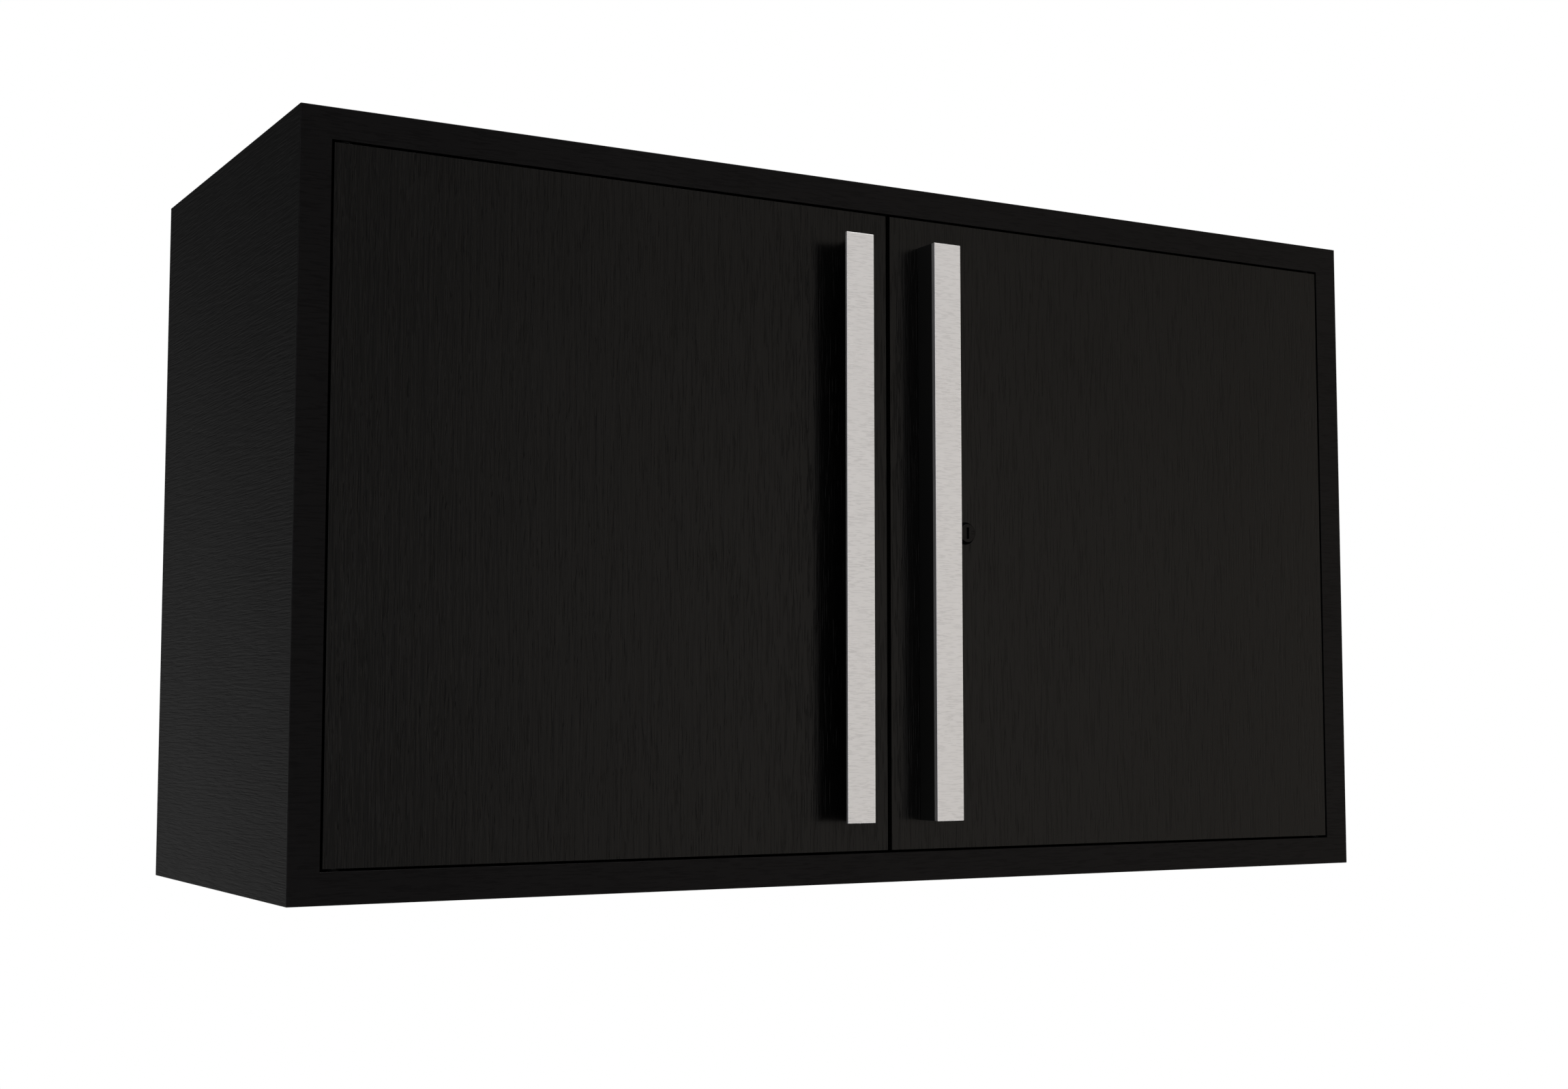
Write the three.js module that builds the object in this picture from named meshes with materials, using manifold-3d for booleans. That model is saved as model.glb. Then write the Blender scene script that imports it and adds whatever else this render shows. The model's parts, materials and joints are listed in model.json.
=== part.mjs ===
// Wall-hung steel storage cabinet with two flush inset doors.
//
// Millimetres, +Z up, -Y is the front, +X is to the right seen from the front.
// The origin is at the bottom centre of the bounding box, so the underside is
// at Z = 0 and the wall side is at the largest Y.
//
// Structure: a flat-panel steel shell with a face frame of four L-section
// members, two hollow doors that turn on concealed top and bottom pivots, a
// full-height pull on each door, and a key lock in the right door that drives
// an upper rod, a lower rod and a side bolt.  One adjustable shelf stands on
// four clips in four slotted standards.  Two hanging rails take wall screws.

import * as THREE from 'three';
import { mergeVertices } from 'three/addons/utils/BufferGeometryUtils.js';
import Module from 'manifold-3d';

const wasm = await Module();
wasm.setup();

// ---------------------------------------------------------------- dimensions
const WIDTH = 1067;            // outside width of the shell
const HEIGHT = 613.5;          // outside height of the shell
const DEPTH = 399.5;           // face frame to wall side
const SHEET = 1.2;             // shell and frame sheet thickness
const GAP = 0.3;               // clearance kept between touching pieces

const FRAME = 25.4;            // visible width of the face frame
const RETURN_SIDE = 20;        // depth of the stile returns
const RETURN_RAIL = 34;        // depth of the rail returns
const DOOR_GAP = 2.2;          // gap between a door and the frame
const CENTRE_GAP = 4.2;        // gap between the two doors
const DOOR_T = 20;             // thickness of a door
const SKIN = 1.0;              // door sheet thickness
const INNER_Y = 19.1;          // inner panel of a door, behind the front face
const INNER_T = 0.8;

const PIVOT_IN = 10;           // pivot axis from the door's outer edge
const PIVOT_BACK = 6;          // pivot axis behind the front face
const PIN_R = 2.5;             // pivot pin
const BUSH_BORE_R = 2.8;
const BUSH_R = 3.8;
const BUSH_COLLAR_R = 4.7;
const BUSH_HOLE_R = 4.1;

const PULL_LENGTH = 508;       // handle length
const PULL_Z0 = 52.7;          // lower end of the handle
const PULL_X0 = 31.6;          // web side of the handle, from the centre line
const PULL_X1 = 59.0;          // free edge of the handle
const PULL_OUT = 27.6;         // how far the handle stands out
const PULL_T = 3;              // handle plate thickness
const PULL_LIP = 5;            // depth of the plate's folded lip
const WEB_T = 8;               // thickness of the black web

const LOCK_X = 81.0;           // lock centre, right of the centre line
const LOCK_Z = HEIGHT / 2;
const LOCK_OUT = 4.5;          // how far the lock stands out
const LOCK_BASE_R = 10.1;
const LOCK_FACE_R = 8.05;
const LOCK_BARREL_R = 9.1;
const PLUG_R = 7.4;
const CRANK_R = 10;            // crank pins of the lock cam
const CRANK = CRANK_R * Math.SQRT1_2;
const ROD_W = 8;
const CAM_R = 16;              // cam disc that carries the crank pins
const ROD_T = 1.8;
const ROD_Y = 23.6;            // front face of the rods, behind the cabinet face
const BOLT_Y = 26.6;           // front face of the side bolt

const SHELF_Z = 300;           // top of the shelf
const SHELF_T = 20;            // folded edge of the shelf
const SHELF_SHEET = 1.2;

const FACE_Y = -(DEPTH + PULL_OUT) / 2 + PULL_OUT;   // plane of the face frame

// ------------------------------------------------------------------- colours
const mat = (color, roughness, metalness) =>
  new THREE.MeshStandardMaterial({ color, roughness, metalness });
const M = {
  shell: mat(0x1b1b1b, 0.42, 0.7),       // near-black brushed shell
  door: mat(0x201f1d, 0.42, 0.7),        // near-black brushed door
  inside: mat(0x1a1a1b, 0.6, 0.2),       // black powder coat
  pull: mat(0xc4c0bd, 0.35, 1.0),        // pale brushed metal
  web: mat(0x0b0b0b, 0.45, 0.2),         // black bracket
  lock: mat(0x232222, 0.35, 0.8),        // dark lock
  zinc: mat(0x9a9c9f, 0.4, 1.0),         // zinc-plated steel
  nylon: mat(0x18181a, 0.55, 0.0),       // black plastic
  rubber: mat(0x121212, 0.85, 0.0),
};

// ------------------------------------------------------------------- helpers
// Solid from a three.js geometry, for joining and cutting.
function solid(geometry) {
  const g = geometry.clone();
  g.deleteAttribute('normal');
  g.deleteAttribute('uv');
  const m = mergeVertices(g, 1e-4);
  return new wasm.Manifold(new wasm.Mesh({
    numProp: 3,
    vertProperties: new Float32Array(m.attributes.position.array),
    triVerts: new Uint32Array(m.index.array),
  }));
}
// Geometry from a solid, with flat faces.
function geometryOf(manifold) {
  const mesh = manifold.getMesh();
  const g = new THREE.BufferGeometry();
  g.setAttribute('position', new THREE.BufferAttribute(new Float32Array(mesh.vertProperties), 3));
  g.setIndex(new THREE.BufferAttribute(new Uint32Array(mesh.triVerts), 1));
  const flat = g.toNonIndexed();
  flat.computeVertexNormals();
  return flat;
}
const range = (a, b) => (a < b ? [a, b] : [b, a]);
// Box between two corners; the ends of each pair may come in either order.
function box(xa, xb, ya, yb, za, zb) {
  const [x0, x1] = range(xa, xb), [y0, y1] = range(ya, yb), [z0, z1] = range(za, zb);
  const g = new THREE.BoxGeometry(x1 - x0, y1 - y0, z1 - z0);
  g.translate((x0 + x1) / 2, (y0 + y1) / 2, (z0 + z1) / 2);
  return solid(g);
}
// Cylinder, cone or prism along an axis from a to b, at (u, v) in the plane
// across it: (y, z) for x, (x, z) for y, (x, y) for z.
function rod(axis, u, v, a, b, ra, rb = ra, seg = 32, turn = 0) {
  const g = new THREE.CylinderGeometry(rb, ra, b - a, seg);  // +Y is the b end
  if (turn) g.rotateY(turn);
  g.translate(0, (a + b) / 2, 0);
  if (axis === 'x') { g.rotateZ(-Math.PI / 2); g.translate(0, u, v); }
  if (axis === 'y') g.translate(u, 0, v);
  if (axis === 'z') { g.rotateX(Math.PI / 2); g.translate(u, v, 0); }
  return solid(g);
}
// Outline in the X-Y plane, carried along Z from a to b.
function profileZ(points, a, b) {
  const area = THREE.ShapeUtils.area(points.map(([x, y]) => new THREE.Vector2(x, y)));
  const p = area < 0 ? points.slice().reverse() : points;
  const g = new THREE.ExtrudeGeometry(
    new THREE.Shape(p.map(([x, y]) => new THREE.Vector2(x, y))),
    { depth: b - a, bevelEnabled: false, steps: 1 });
  g.translate(0, 0, a);
  return solid(g);
}
const join = (...list) => list.reduce((a, b) => a.add(b));
const cut = (a, ...list) => list.reduce((s, b) => s.subtract(b), a);

// The whole cabinet is laid out with Y = 0 on the plane of the face frame and
// the group carries it to its place.
const cabinet = new THREE.Group();
cabinet.position.set(0, FACE_Y, 0);
function piece(name, shape, material, parent = cabinet, at = [0, 0, 0]) {
  const mesh = new THREE.Mesh(geometryOf(shape.translate(-at[0], -at[1], -at[2])), material);
  mesh.name = name;
  mesh.position.set(at[0], at[1], at[2]);
  parent.add(mesh);
  return mesh;
}

const XO = WIDTH / 2;                 // outside of the shell
const XF = XO - FRAME;                // inner edge of the face frame
const XD = XF - DOOR_GAP;             // outer edge of a door
const XP = XD - PIVOT_IN;             // pivot axis
const ZB = FRAME + DOOR_GAP;          // lower edge of the doors
const ZT = HEIGHT - FRAME - DOOR_GAP; // upper edge of the doors
const BACK = DEPTH;

// --------------------------------------------------------------------- shell
for (const [side, s] of [['left', -1], ['right', 1]]) {
  // Flat side panel behind the stile.
  piece(`side_panel_${side}`,
    box(s * XO, s * (XO - SHEET), SHEET + GAP, BACK, 0, HEIGHT), M.shell);
  // L-section stile: front face and a return along the door opening.
  piece(`frame_stile_${side}`, join(
    box(s * XO, s * XF, 0, SHEET, 0, HEIGHT),
    box(s * XF, s * (XF + SHEET), 0, RETURN_SIDE, FRAME + GAP, HEIGHT - FRAME - GAP)), M.shell);
}
const XIN = XO - SHEET - GAP;         // between the side panels
piece('top_panel', box(-XIN, XIN, SHEET + GAP, BACK - SHEET - GAP, HEIGHT - SHEET, HEIGHT), M.shell);
piece('bottom_panel', box(-XIN, XIN, SHEET + GAP, BACK - SHEET - GAP, 0, SHEET), M.shell);

// Hole positions for the four wall screws, on every second 406.4 mm stud.
const SCREW_X = 406.4;                // 16 in either side of the centre
const RAIL_Z = [HEIGHT - 60, 60];
const wallHoles = (y0, y1) => [-1, 1].flatMap((s) => RAIL_Z.map((z) =>
  rod('y', s * SCREW_X, z, y0, y1, 4.5, 4.5, 24)));
piece('back_panel', cut(box(-XIN, XIN, BACK - SHEET, BACK, 0, HEIGHT),
  ...wallHoles(BACK - 4, BACK + 2)), M.inside);

// Rails of the face frame: front face and a return along the door opening,
// with holes for the pivot bushings and a notch that a lock rod passes.
const XR = XF - GAP;
function frameRail(z, dir, notchX) {
  // z: opening edge, dir: +1 when the rail stands above the opening
  const outer = z + dir * FRAME;
  return cut(join(
    box(-XR, XR, 0, SHEET, z, outer),
    box(-XR, XR, 0, RETURN_RAIL, z, z + dir * SHEET)),
  rod('z', -XP, PIVOT_BACK, z - 3, z + 3, BUSH_HOLE_R),
  rod('z', XP, PIVOT_BACK, z - 3, z + 3, BUSH_HOLE_R),
  box(notchX - 8, notchX + 8, 20, RETURN_RAIL + 1, z - 3, z + 3));
}
const ROD_X = { upper: LOCK_X - 16, lower: LOCK_X + 16 };
piece('frame_rail_top', frameRail(HEIGHT - FRAME, 1, ROD_X.upper), M.shell);
piece('frame_rail_bottom', frameRail(FRAME, -1, ROD_X.lower), M.shell);

// Hat-section hanging rails on the inside of the back.
function hangingRail(z) {
  const y1 = BACK - SHEET - GAP, y0 = y1 - 12, L = 500, t = 2;
  return cut(join(
    box(-L, L, y0, y0 + t, z - 16, z + 16),
    box(-L, L, y0, y1, z - 18, z - 16),
    box(-L, L, y0, y1, z + 16, z + 18),
    box(-L, L, y1 - t, y1, z - 30, z - 16.5),
    box(-L, L, y1 - t, y1, z + 16.5, z + 30)),
  ...[-1, 1].map((s) => rod('y', s * SCREW_X, z, y0 - 2, y1 + 1, 4.5, 4.5, 24)));
}
piece('hanging_rail_upper', hangingRail(RAIL_Z[0]), M.inside);
piece('hanging_rail_lower', hangingRail(RAIL_Z[1]), M.inside);

// ------------------------------------------------- shelf, clips and standards
const STD_Y = { front: 78, rear: 344 };
const STD_Z0 = 40, STD_Z1 = 572;
for (const [side, s] of [['left', -1], ['right', 1]]) {
  for (const [place, y] of Object.entries(STD_Y)) {
    const xo = s * (XIN - 0), xi = s * (XIN - 4);
    // C-section strip with a row of slots.
    let strip = join(
      box(xi, xi + s * 1.2, y - 8, y + 8, STD_Z0, STD_Z1),
      box(xo, xi, y - 8, y - 6.8, STD_Z0, STD_Z1),
      box(xo, xi, y + 6.8, y + 8, STD_Z0, STD_Z1));
    for (let z = 56; z < 560; z += 36) {
      strip = strip.subtract(box(xi - s * 1, xi + s * 2, y - 2, y + 2, z, z + 14));
    }
    piece(`shelf_standard_${side}_${place}`, strip, M.zinc);
    // Clip: a ledge under the shelf and a hook in the slots.
    const x0 = xi - s * GAP, top = SHELF_Z - SHELF_T - GAP;
    piece(`shelf_clip_${side}_${place}`, join(
      box(x0, x0 - s * 14, y - 6, y + 6, top - 2, top),
      box(x0, x0 - s * 2, y - 6, y + 6, top - 16, top - 1),
      box(x0 + s * 3, x0 - s * 1, y - 1.4, y + 1.4, 277, 278.4).add(
        box(x0 + s * 3, x0 + s * 1.9, y - 1.4, y + 1.4, 272, 278.4))), M.zinc);
  }
}
const XS = XIN - 4 - 2 * GAP - 0.6;
piece('shelf', cut(
  box(-XS, XS, 46, 382, SHELF_Z - SHELF_T, SHELF_Z),
  box(-XS + SHELF_SHEET, XS - SHELF_SHEET, 46 + SHELF_SHEET, 382 - SHELF_SHEET,
    SHELF_Z - SHELF_T - 1, SHELF_Z - SHELF_SHEET)), M.inside);

// --------------------------------------------- catches, bumpers and bushings
for (const [side, s] of [['left', -1], ['right', 1]]) {
  const zc = HEIGHT - FRAME - GAP;
  piece(`magnetic_catch_${side}`, join(
    box(s * 14, s * 52, 22.3, 33.6, zc - 12, zc),
    box(s * 20, s * 46, 21.9, 23, zc - 10.5, zc - 7.5),
    box(s * 20, s * 46, 21.9, 23, zc - 5, zc - 2)), M.nylon);
  piece(`door_bumper_${side}`, join(
    box(s * 246, s * 262, 24, 33, FRAME + GAP, FRAME + 12),
    rod('y', s * 254, FRAME + 7, 20.3, 25, 3.4, 4.2, 20)), M.rubber);
  for (const [end, z, d] of [['top', HEIGHT - FRAME, 1], ['bottom', FRAME, -1]]) {
    const [c0, c1] = range(z - d * GAP, z - d * (GAP + 1.2));
    const [b0, b1] = range(z - d * (GAP + 1), z + d * (SHEET + 1.5));
    piece(`pivot_bushing_${side}_${end}`, cut(join(
      rod('z', s * XP, PIVOT_BACK, c0, c1, BUSH_COLLAR_R),
      rod('z', s * XP, PIVOT_BACK, b0, b1, BUSH_R)),
    rod('z', s * XP, PIVOT_BACK, Math.min(c0, b0) - 1, Math.max(c1, b1) + 1, BUSH_BORE_R)),
    M.nylon);
  }
}

// --------------------------------------------------------------------- doors
const XC = CENTRE_GAP / 2;
function door(side, s) {
  // The door's group stands on its pivot axis, so the whole door turns with it.
  const group = new THREE.Group();
  group.position.set(s * XP, PIVOT_BACK, 0);
  cabinet.add(group);
  const put = (name, shape, material, parent = group, at = [0, 0, 0]) =>
    piece(name, shape.translate(-s * XP, -PIVOT_BACK, 0), material, parent,
      [at[0] ? at[0] - s * XP : 0, at[1], at[2]]);

  const screwZ = [PULL_Z0 + 60, PULL_Z0 + PULL_LENGTH - 60];
  const webX = s * (PULL_X0 + WEB_T / 2 + 1);

  // Outer pan: front sheet and four folded edges.
  let pan = cut(box(s * XC, s * XD, 0, DOOR_T, ZB, ZT),
    box(s * (XC + SKIN), s * (XD - SKIN), SKIN, DOOR_T + 1, ZB + SKIN, ZT - SKIN),
    rod('z', s * XP, PIVOT_BACK, ZB - 2, ZB + 3, PIN_R + GAP),
    rod('z', s * XP, PIVOT_BACK, ZT - 3, ZT + 2, PIN_R + GAP),
    ...screwZ.map((z) => rod('y', webX, z, -1, 3, 2.3, 2.3, 20)));
  // Inner panel that closes the back of the pan.
  let inner = box(s * (XC + SKIN + GAP), s * (XD - SKIN - GAP), INNER_Y, INNER_Y + INNER_T,
    ZB + SKIN + GAP, ZT - SKIN - GAP);
  if (side === 'right') {
    pan = pan.subtract(rod('y', LOCK_X, LOCK_Z, -1, 3, LOCK_BARREL_R + GAP, LOCK_BARREL_R + GAP, 40));
    inner = inner.subtract(rod('y', LOCK_X, LOCK_Z, 17, 22, 16, 16, 40));
  }
  // Access holes for the handle screws.
  inner = cut(inner, ...screwZ.map((z) => rod('y', webX, z, 17, 22, 5, 5, 20)));
  put(`door_pan_${side}`, pan, M.door);
  put(`door_inner_panel_${side}`, inner, M.inside);
  // Hat-section stiffener inside the door.
  const xm = s * 270;
  put(`door_stiffener_${side}`, join(
    box(xm - 15, xm + 15, SKIN + GAP, SKIN + GAP + 1, ZB + 30, ZT - 30),
    box(xm - 15, xm - 14, SKIN + GAP, INNER_Y - GAP, ZB + 30, ZT - 30),
    box(xm + 14, xm + 15, SKIN + GAP, INNER_Y - GAP, ZB + 30, ZT - 30),
    box(xm - 27, xm - 14, INNER_Y - GAP - 1, INNER_Y - GAP, ZB + 30, ZT - 30),
    box(xm + 14, xm + 27, INNER_Y - GAP - 1, INNER_Y - GAP, ZB + 30, ZT - 30)), M.inside);
  // Pivot brackets: a plate inside the door's corner with the pin on it.
  for (const [end, z, d] of [['top', ZT, 1], ['bottom', ZB, -1]]) {
    const f = z - d * (SKIN + GAP);
    put(`pivot_pin_${side}_${end}`, join(
      box(s * (XD - SKIN - GAP), s * (XD - 34), SKIN + GAP, 14, f, f - d * 4),
      rod('z', s * XP, PIVOT_BACK, ...range(f - d * 1, z + d * (DOOR_GAP + SHEET + 2.5)), PIN_R, PIN_R, 28)),
    M.zinc);
  }
  // Black web of the pull: stands on the door, with a tongue behind the lip.
  const web = cut(profileZ([
    [s * PULL_X0, -GAP],
    [s * PULL_X0, -(PULL_OUT - PULL_LIP - GAP)],
    [s * (PULL_X0 + PULL_T + GAP), -(PULL_OUT - PULL_LIP - GAP)],
    [s * (PULL_X0 + PULL_T + GAP), -(PULL_OUT - PULL_T - GAP)],
    [s * (PULL_X0 + WEB_T), -(PULL_OUT - PULL_T - GAP)],
    [s * (PULL_X0 + WEB_T), -GAP],
  ], PULL_Z0, PULL_Z0 + PULL_LENGTH),
  ...screwZ.map((z) => rod('y', webX, z, -13, 1, 2.3, 2.3, 20)));
  put(`pull_web_${side}`, web, M.web);
  // Pale front plate of the pull with its folded lip.
  put(`pull_plate_${side}`, profileZ([
    [s * PULL_X0, -PULL_OUT],
    [s * PULL_X1, -PULL_OUT],
    [s * PULL_X1, -(PULL_OUT - PULL_T)],
    [s * (PULL_X0 + PULL_T), -(PULL_OUT - PULL_T)],
    [s * (PULL_X0 + PULL_T), -(PULL_OUT - PULL_LIP)],
    [s * PULL_X0, -(PULL_OUT - PULL_LIP)],
  ], PULL_Z0, PULL_Z0 + PULL_LENGTH), M.pull);
  // Screws that hold the web from inside the door.
  screwZ.forEach((z, i) => put(`pull_screw_${side}_${i ? 'upper' : 'lower'}`, join(
    rod('y', webX, z, -11, 2.2, 2.0, 2.0, 20),
    rod('y', webX, z, SKIN + GAP, SKIN + GAP + 2.6, 4.0, 3.4, 24)), M.zinc));
  // Steel strike for the magnetic catch.
  put(`catch_strike_${side}`, box(s * 18, s * 48, 20.2, 21.5, ZT - 12, ZT - 1), M.zinc);
  return { group, put };
}
const left = door('left', -1);
const right = door('right', 1);

// Keeper on the back of the left door that the side bolt enters.
const BOLT_Z0 = LOCK_Z - 13, BOLT_Z1 = LOCK_Z - 4;
left.put('bolt_keeper', cut(
  box(-16, -5, 20.2, 31.6, BOLT_Z0 - 3, BOLT_Z1 + 3),
  box(-18, -3, BOLT_Y - 0.6, BOLT_Y + ROD_T + 0.8, BOLT_Z0 - 0.8, BOLT_Z1 + 0.8)), M.zinc);

// ---------------------------------------------------------------------- lock
// Housing: tapered collar, barrel through the door.
right.put('lock_housing', cut(join(
  rod('y', LOCK_X, LOCK_Z, -LOCK_OUT, -GAP, LOCK_FACE_R, LOCK_BASE_R, 48),
  rod('y', LOCK_X, LOCK_Z, -1, 20.2, LOCK_BARREL_R, LOCK_BARREL_R, 48)),
rod('y', LOCK_X, LOCK_Z, -LOCK_OUT - 1, 21, PLUG_R + GAP, PLUG_R + GAP, 48)), M.lock);
right.put('lock_nut', cut(
  rod('y', LOCK_X, LOCK_Z, SKIN + GAP, 6.5, 13, 13, 6),
  rod('y', LOCK_X, LOCK_Z, 0, 8, LOCK_BARREL_R + GAP, LOCK_BARREL_R + GAP, 48)), M.zinc);
// Plug with a vertical keyway, index groove and square tail.
const cylinder = new THREE.Group();
cylinder.position.set(LOCK_X - XP, 0, LOCK_Z);
right.group.add(cylinder);
const inLock = (name, shape, material) =>
  piece(name, shape.translate(-LOCK_X, -PIVOT_BACK, -LOCK_Z), material, cylinder);
inLock('lock_plug', cut(join(
  rod('y', LOCK_X, LOCK_Z, -LOCK_OUT, 19.4, PLUG_R, PLUG_R, 48),
  box(LOCK_X - 3.5, LOCK_X + 3.5, 19, 23.2, LOCK_Z - 3.5, LOCK_Z + 3.5)),
box(LOCK_X - 1.3, LOCK_X + 1.3, -LOCK_OUT - 1, 10, LOCK_Z - 5.25, LOCK_Z + 5.25),
box(LOCK_X + 4, LOCK_X + 9, -LOCK_OUT - 1, -LOCK_OUT + 0.5, LOCK_Z - 0.6, LOCK_Z + 0.8),
rod('y', LOCK_X, LOCK_Z, 14, 24, 1.8, 1.8, 16)), M.lock);
// Cam disc with three crank pins.
inLock('lock_cam', cut(join(
  rod('y', LOCK_X, LOCK_Z, 20.8, 22.8, CAM_R, CAM_R, 48),
  rod('y', LOCK_X - CRANK, LOCK_Z - CRANK, 22, 26.2, 1.5, 1.5, 16),
  rod('y', LOCK_X + CRANK, LOCK_Z + CRANK, 22, 26.2, 1.5, 1.5, 16),
  rod('y', LOCK_X + CRANK, LOCK_Z - CRANK, 22, 29.3, 1.5, 1.5, 16)),
box(LOCK_X - 3.8, LOCK_X + 3.8, 20, 24, LOCK_Z - 3.8, LOCK_Z + 3.8)), M.zinc);
inLock('cam_screw', join(
  rod('y', LOCK_X, LOCK_Z, 15, 24, 1.5, 1.5, 16),
  rod('y', LOCK_X, LOCK_Z, 23.5, 25.6, 3.2, 2.6, 24)), M.zinc);

// Rods: a flat bar and a foot with a slot round its crank pin.
function lockRod(d) {
  // d = +1 for the upper rod, which stands left of the lock; -1 for the lower.
  const x = LOCK_X - d * 16, tip = d > 0 ? ZT - 1.9 : ZB + 1.9;
  const zf = LOCK_Z - d * CRANK;
  return cut(join(
    box(x - ROD_W / 2, x + ROD_W / 2, ROD_Y, ROD_Y + ROD_T, zf - d * 4, tip),
    box(x, LOCK_X - d * 4, ROD_Y, ROD_Y + ROD_T, zf - 4, zf + 4)),
  box(LOCK_X - d * 12, LOCK_X - d * 5.2, ROD_Y - 1, ROD_Y + ROD_T + 1, zf - 2.3, zf + 2.3));
}
right.put('lock_rod_upper', lockRod(1), M.zinc);
right.put('lock_rod_lower', lockRod(-1), M.zinc);
// Side bolt, behind the rods, driven by the long crank pin.
right.put('lock_bolt', cut(join(
  box(4, LOCK_X + 14, BOLT_Y, BOLT_Y + ROD_T, BOLT_Z0, BOLT_Z1)),
box(LOCK_X + CRANK - 2.3, LOCK_X + CRANK + 2.3, BOLT_Y - 1, BOLT_Y + ROD_T + 1,
  LOCK_Z - 12.1, LOCK_Z - 5.2)), M.zinc);
// Guides on the back of the door.
for (const [name, d] of [['upper', 1], ['lower', -1]]) {
  const x = LOCK_X - d * 16, z = LOCK_Z + d * 180;
  right.put(`rod_guide_${name}`, cut(
    box(x - 8, x + 8, 20.2, 28.4, z - 8, z + 8),
    box(x - ROD_W / 2 - 0.5, x + ROD_W / 2 + 0.5, ROD_Y - 0.5, ROD_Y + ROD_T + 0.5, z - 10, z + 10)),
  M.nylon);
}
right.put('bolt_guide', cut(
  box(12, 24, 20.2, 31.6, BOLT_Z0 - 3, BOLT_Z1 + 3),
  box(10, 26, BOLT_Y - 0.5, BOLT_Y + ROD_T + 0.5, BOLT_Z0 - 0.5, BOLT_Z1 + 0.5)), M.nylon);

export default cabinet;
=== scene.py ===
# Looks of the wall-hung steel cabinet with two flush doors, built around the
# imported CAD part.  Metres, +Z up, -Y is the front, seen in the part's frame.
import json
import math

import bmesh
import bpy
from mathutils import Matrix, Vector

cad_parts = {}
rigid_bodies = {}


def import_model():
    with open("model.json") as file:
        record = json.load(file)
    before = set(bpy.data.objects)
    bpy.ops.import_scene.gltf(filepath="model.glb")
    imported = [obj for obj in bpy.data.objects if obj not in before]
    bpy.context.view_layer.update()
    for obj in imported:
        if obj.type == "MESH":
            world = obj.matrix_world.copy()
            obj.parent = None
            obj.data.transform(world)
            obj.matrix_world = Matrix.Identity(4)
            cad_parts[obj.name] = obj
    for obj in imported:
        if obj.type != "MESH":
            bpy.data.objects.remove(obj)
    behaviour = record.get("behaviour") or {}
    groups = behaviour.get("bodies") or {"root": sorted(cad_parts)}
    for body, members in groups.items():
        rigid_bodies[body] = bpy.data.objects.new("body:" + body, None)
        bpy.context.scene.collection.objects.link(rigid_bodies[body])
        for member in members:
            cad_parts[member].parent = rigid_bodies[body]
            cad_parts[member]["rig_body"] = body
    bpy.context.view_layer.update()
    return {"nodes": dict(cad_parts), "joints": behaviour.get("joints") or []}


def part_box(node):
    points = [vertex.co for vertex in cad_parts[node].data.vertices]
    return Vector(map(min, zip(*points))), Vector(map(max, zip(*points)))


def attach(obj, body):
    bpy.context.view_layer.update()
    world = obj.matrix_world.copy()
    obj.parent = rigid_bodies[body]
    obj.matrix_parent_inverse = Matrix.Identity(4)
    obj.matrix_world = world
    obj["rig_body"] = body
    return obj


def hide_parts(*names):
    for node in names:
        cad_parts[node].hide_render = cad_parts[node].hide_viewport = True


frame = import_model()
N = frame["nodes"]
MM = 0.001

# --------------------------------------------------------------- main places
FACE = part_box("frame_stile_left")[0].y          # plane of the face frame
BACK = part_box("side_panel_left")[1].y
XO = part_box("side_panel_right")[1].x            # outside of the shell
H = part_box("side_panel_right")[1].z
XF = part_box("frame_stile_right")[0].x           # opening edge of a stile
FRAME = XO - XF
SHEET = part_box("top_panel")[1].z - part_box("top_panel")[0].z
SIDE_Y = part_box("side_panel_left")[0].y         # front edge of the side panels
RET_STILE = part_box("frame_stile_left")[1].y
RET_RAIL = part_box("frame_rail_top")[1].y
LOCK = next(Vector(j["pos_m"]) for j in frame["joints"] if j["name"] == "lock_turn")
HINGE = {s: next(Vector(j["pos_m"]) for j in frame["joints"]
                 if j["name"] == f"door_{s}_hinge") for s in ("left", "right")}


# ------------------------------------------------------------- mesh helpers
def make_object(name, bm):
    mesh = bpy.data.meshes.new(name)
    bm.normal_update()
    bm.to_mesh(mesh)
    bm.free()
    obj = bpy.data.objects.new(name, mesh)
    bpy.context.scene.collection.objects.link(obj)
    return obj


def cad_bmesh(*nodes):
    """Copy of CAD nodes with the facets' flat seams dissolved."""
    bm = bmesh.new()
    for n in nodes:
        bm.from_mesh(N[n].data)
    bmesh.ops.remove_doubles(bm, verts=bm.verts, dist=2e-6)
    bmesh.ops.dissolve_limit(bm, angle_limit=math.radians(0.4),
                             verts=bm.verts[:], edges=bm.edges[:])
    return bm


def box_bm(bm, x0, x1, y0, y1, z0, z1):
    lo = Vector((min(x0, x1), min(y0, y1), min(z0, z1)))
    hi = Vector((max(x0, x1), max(y0, y1), max(z0, z1)))
    made = bmesh.ops.create_cube(bm, size=1.0)
    size = hi - lo
    for v in made["verts"]:
        v.co = Vector(((v.co.x + 0.5) * size.x + lo.x, (v.co.y + 0.5) * size.y + lo.y,
                       (v.co.z + 0.5) * size.z + lo.z))
    return made["verts"]


def box_object(name, *ends):
    bm = bmesh.new()
    box_bm(bm, *ends)
    return make_object(name, bm)


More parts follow.
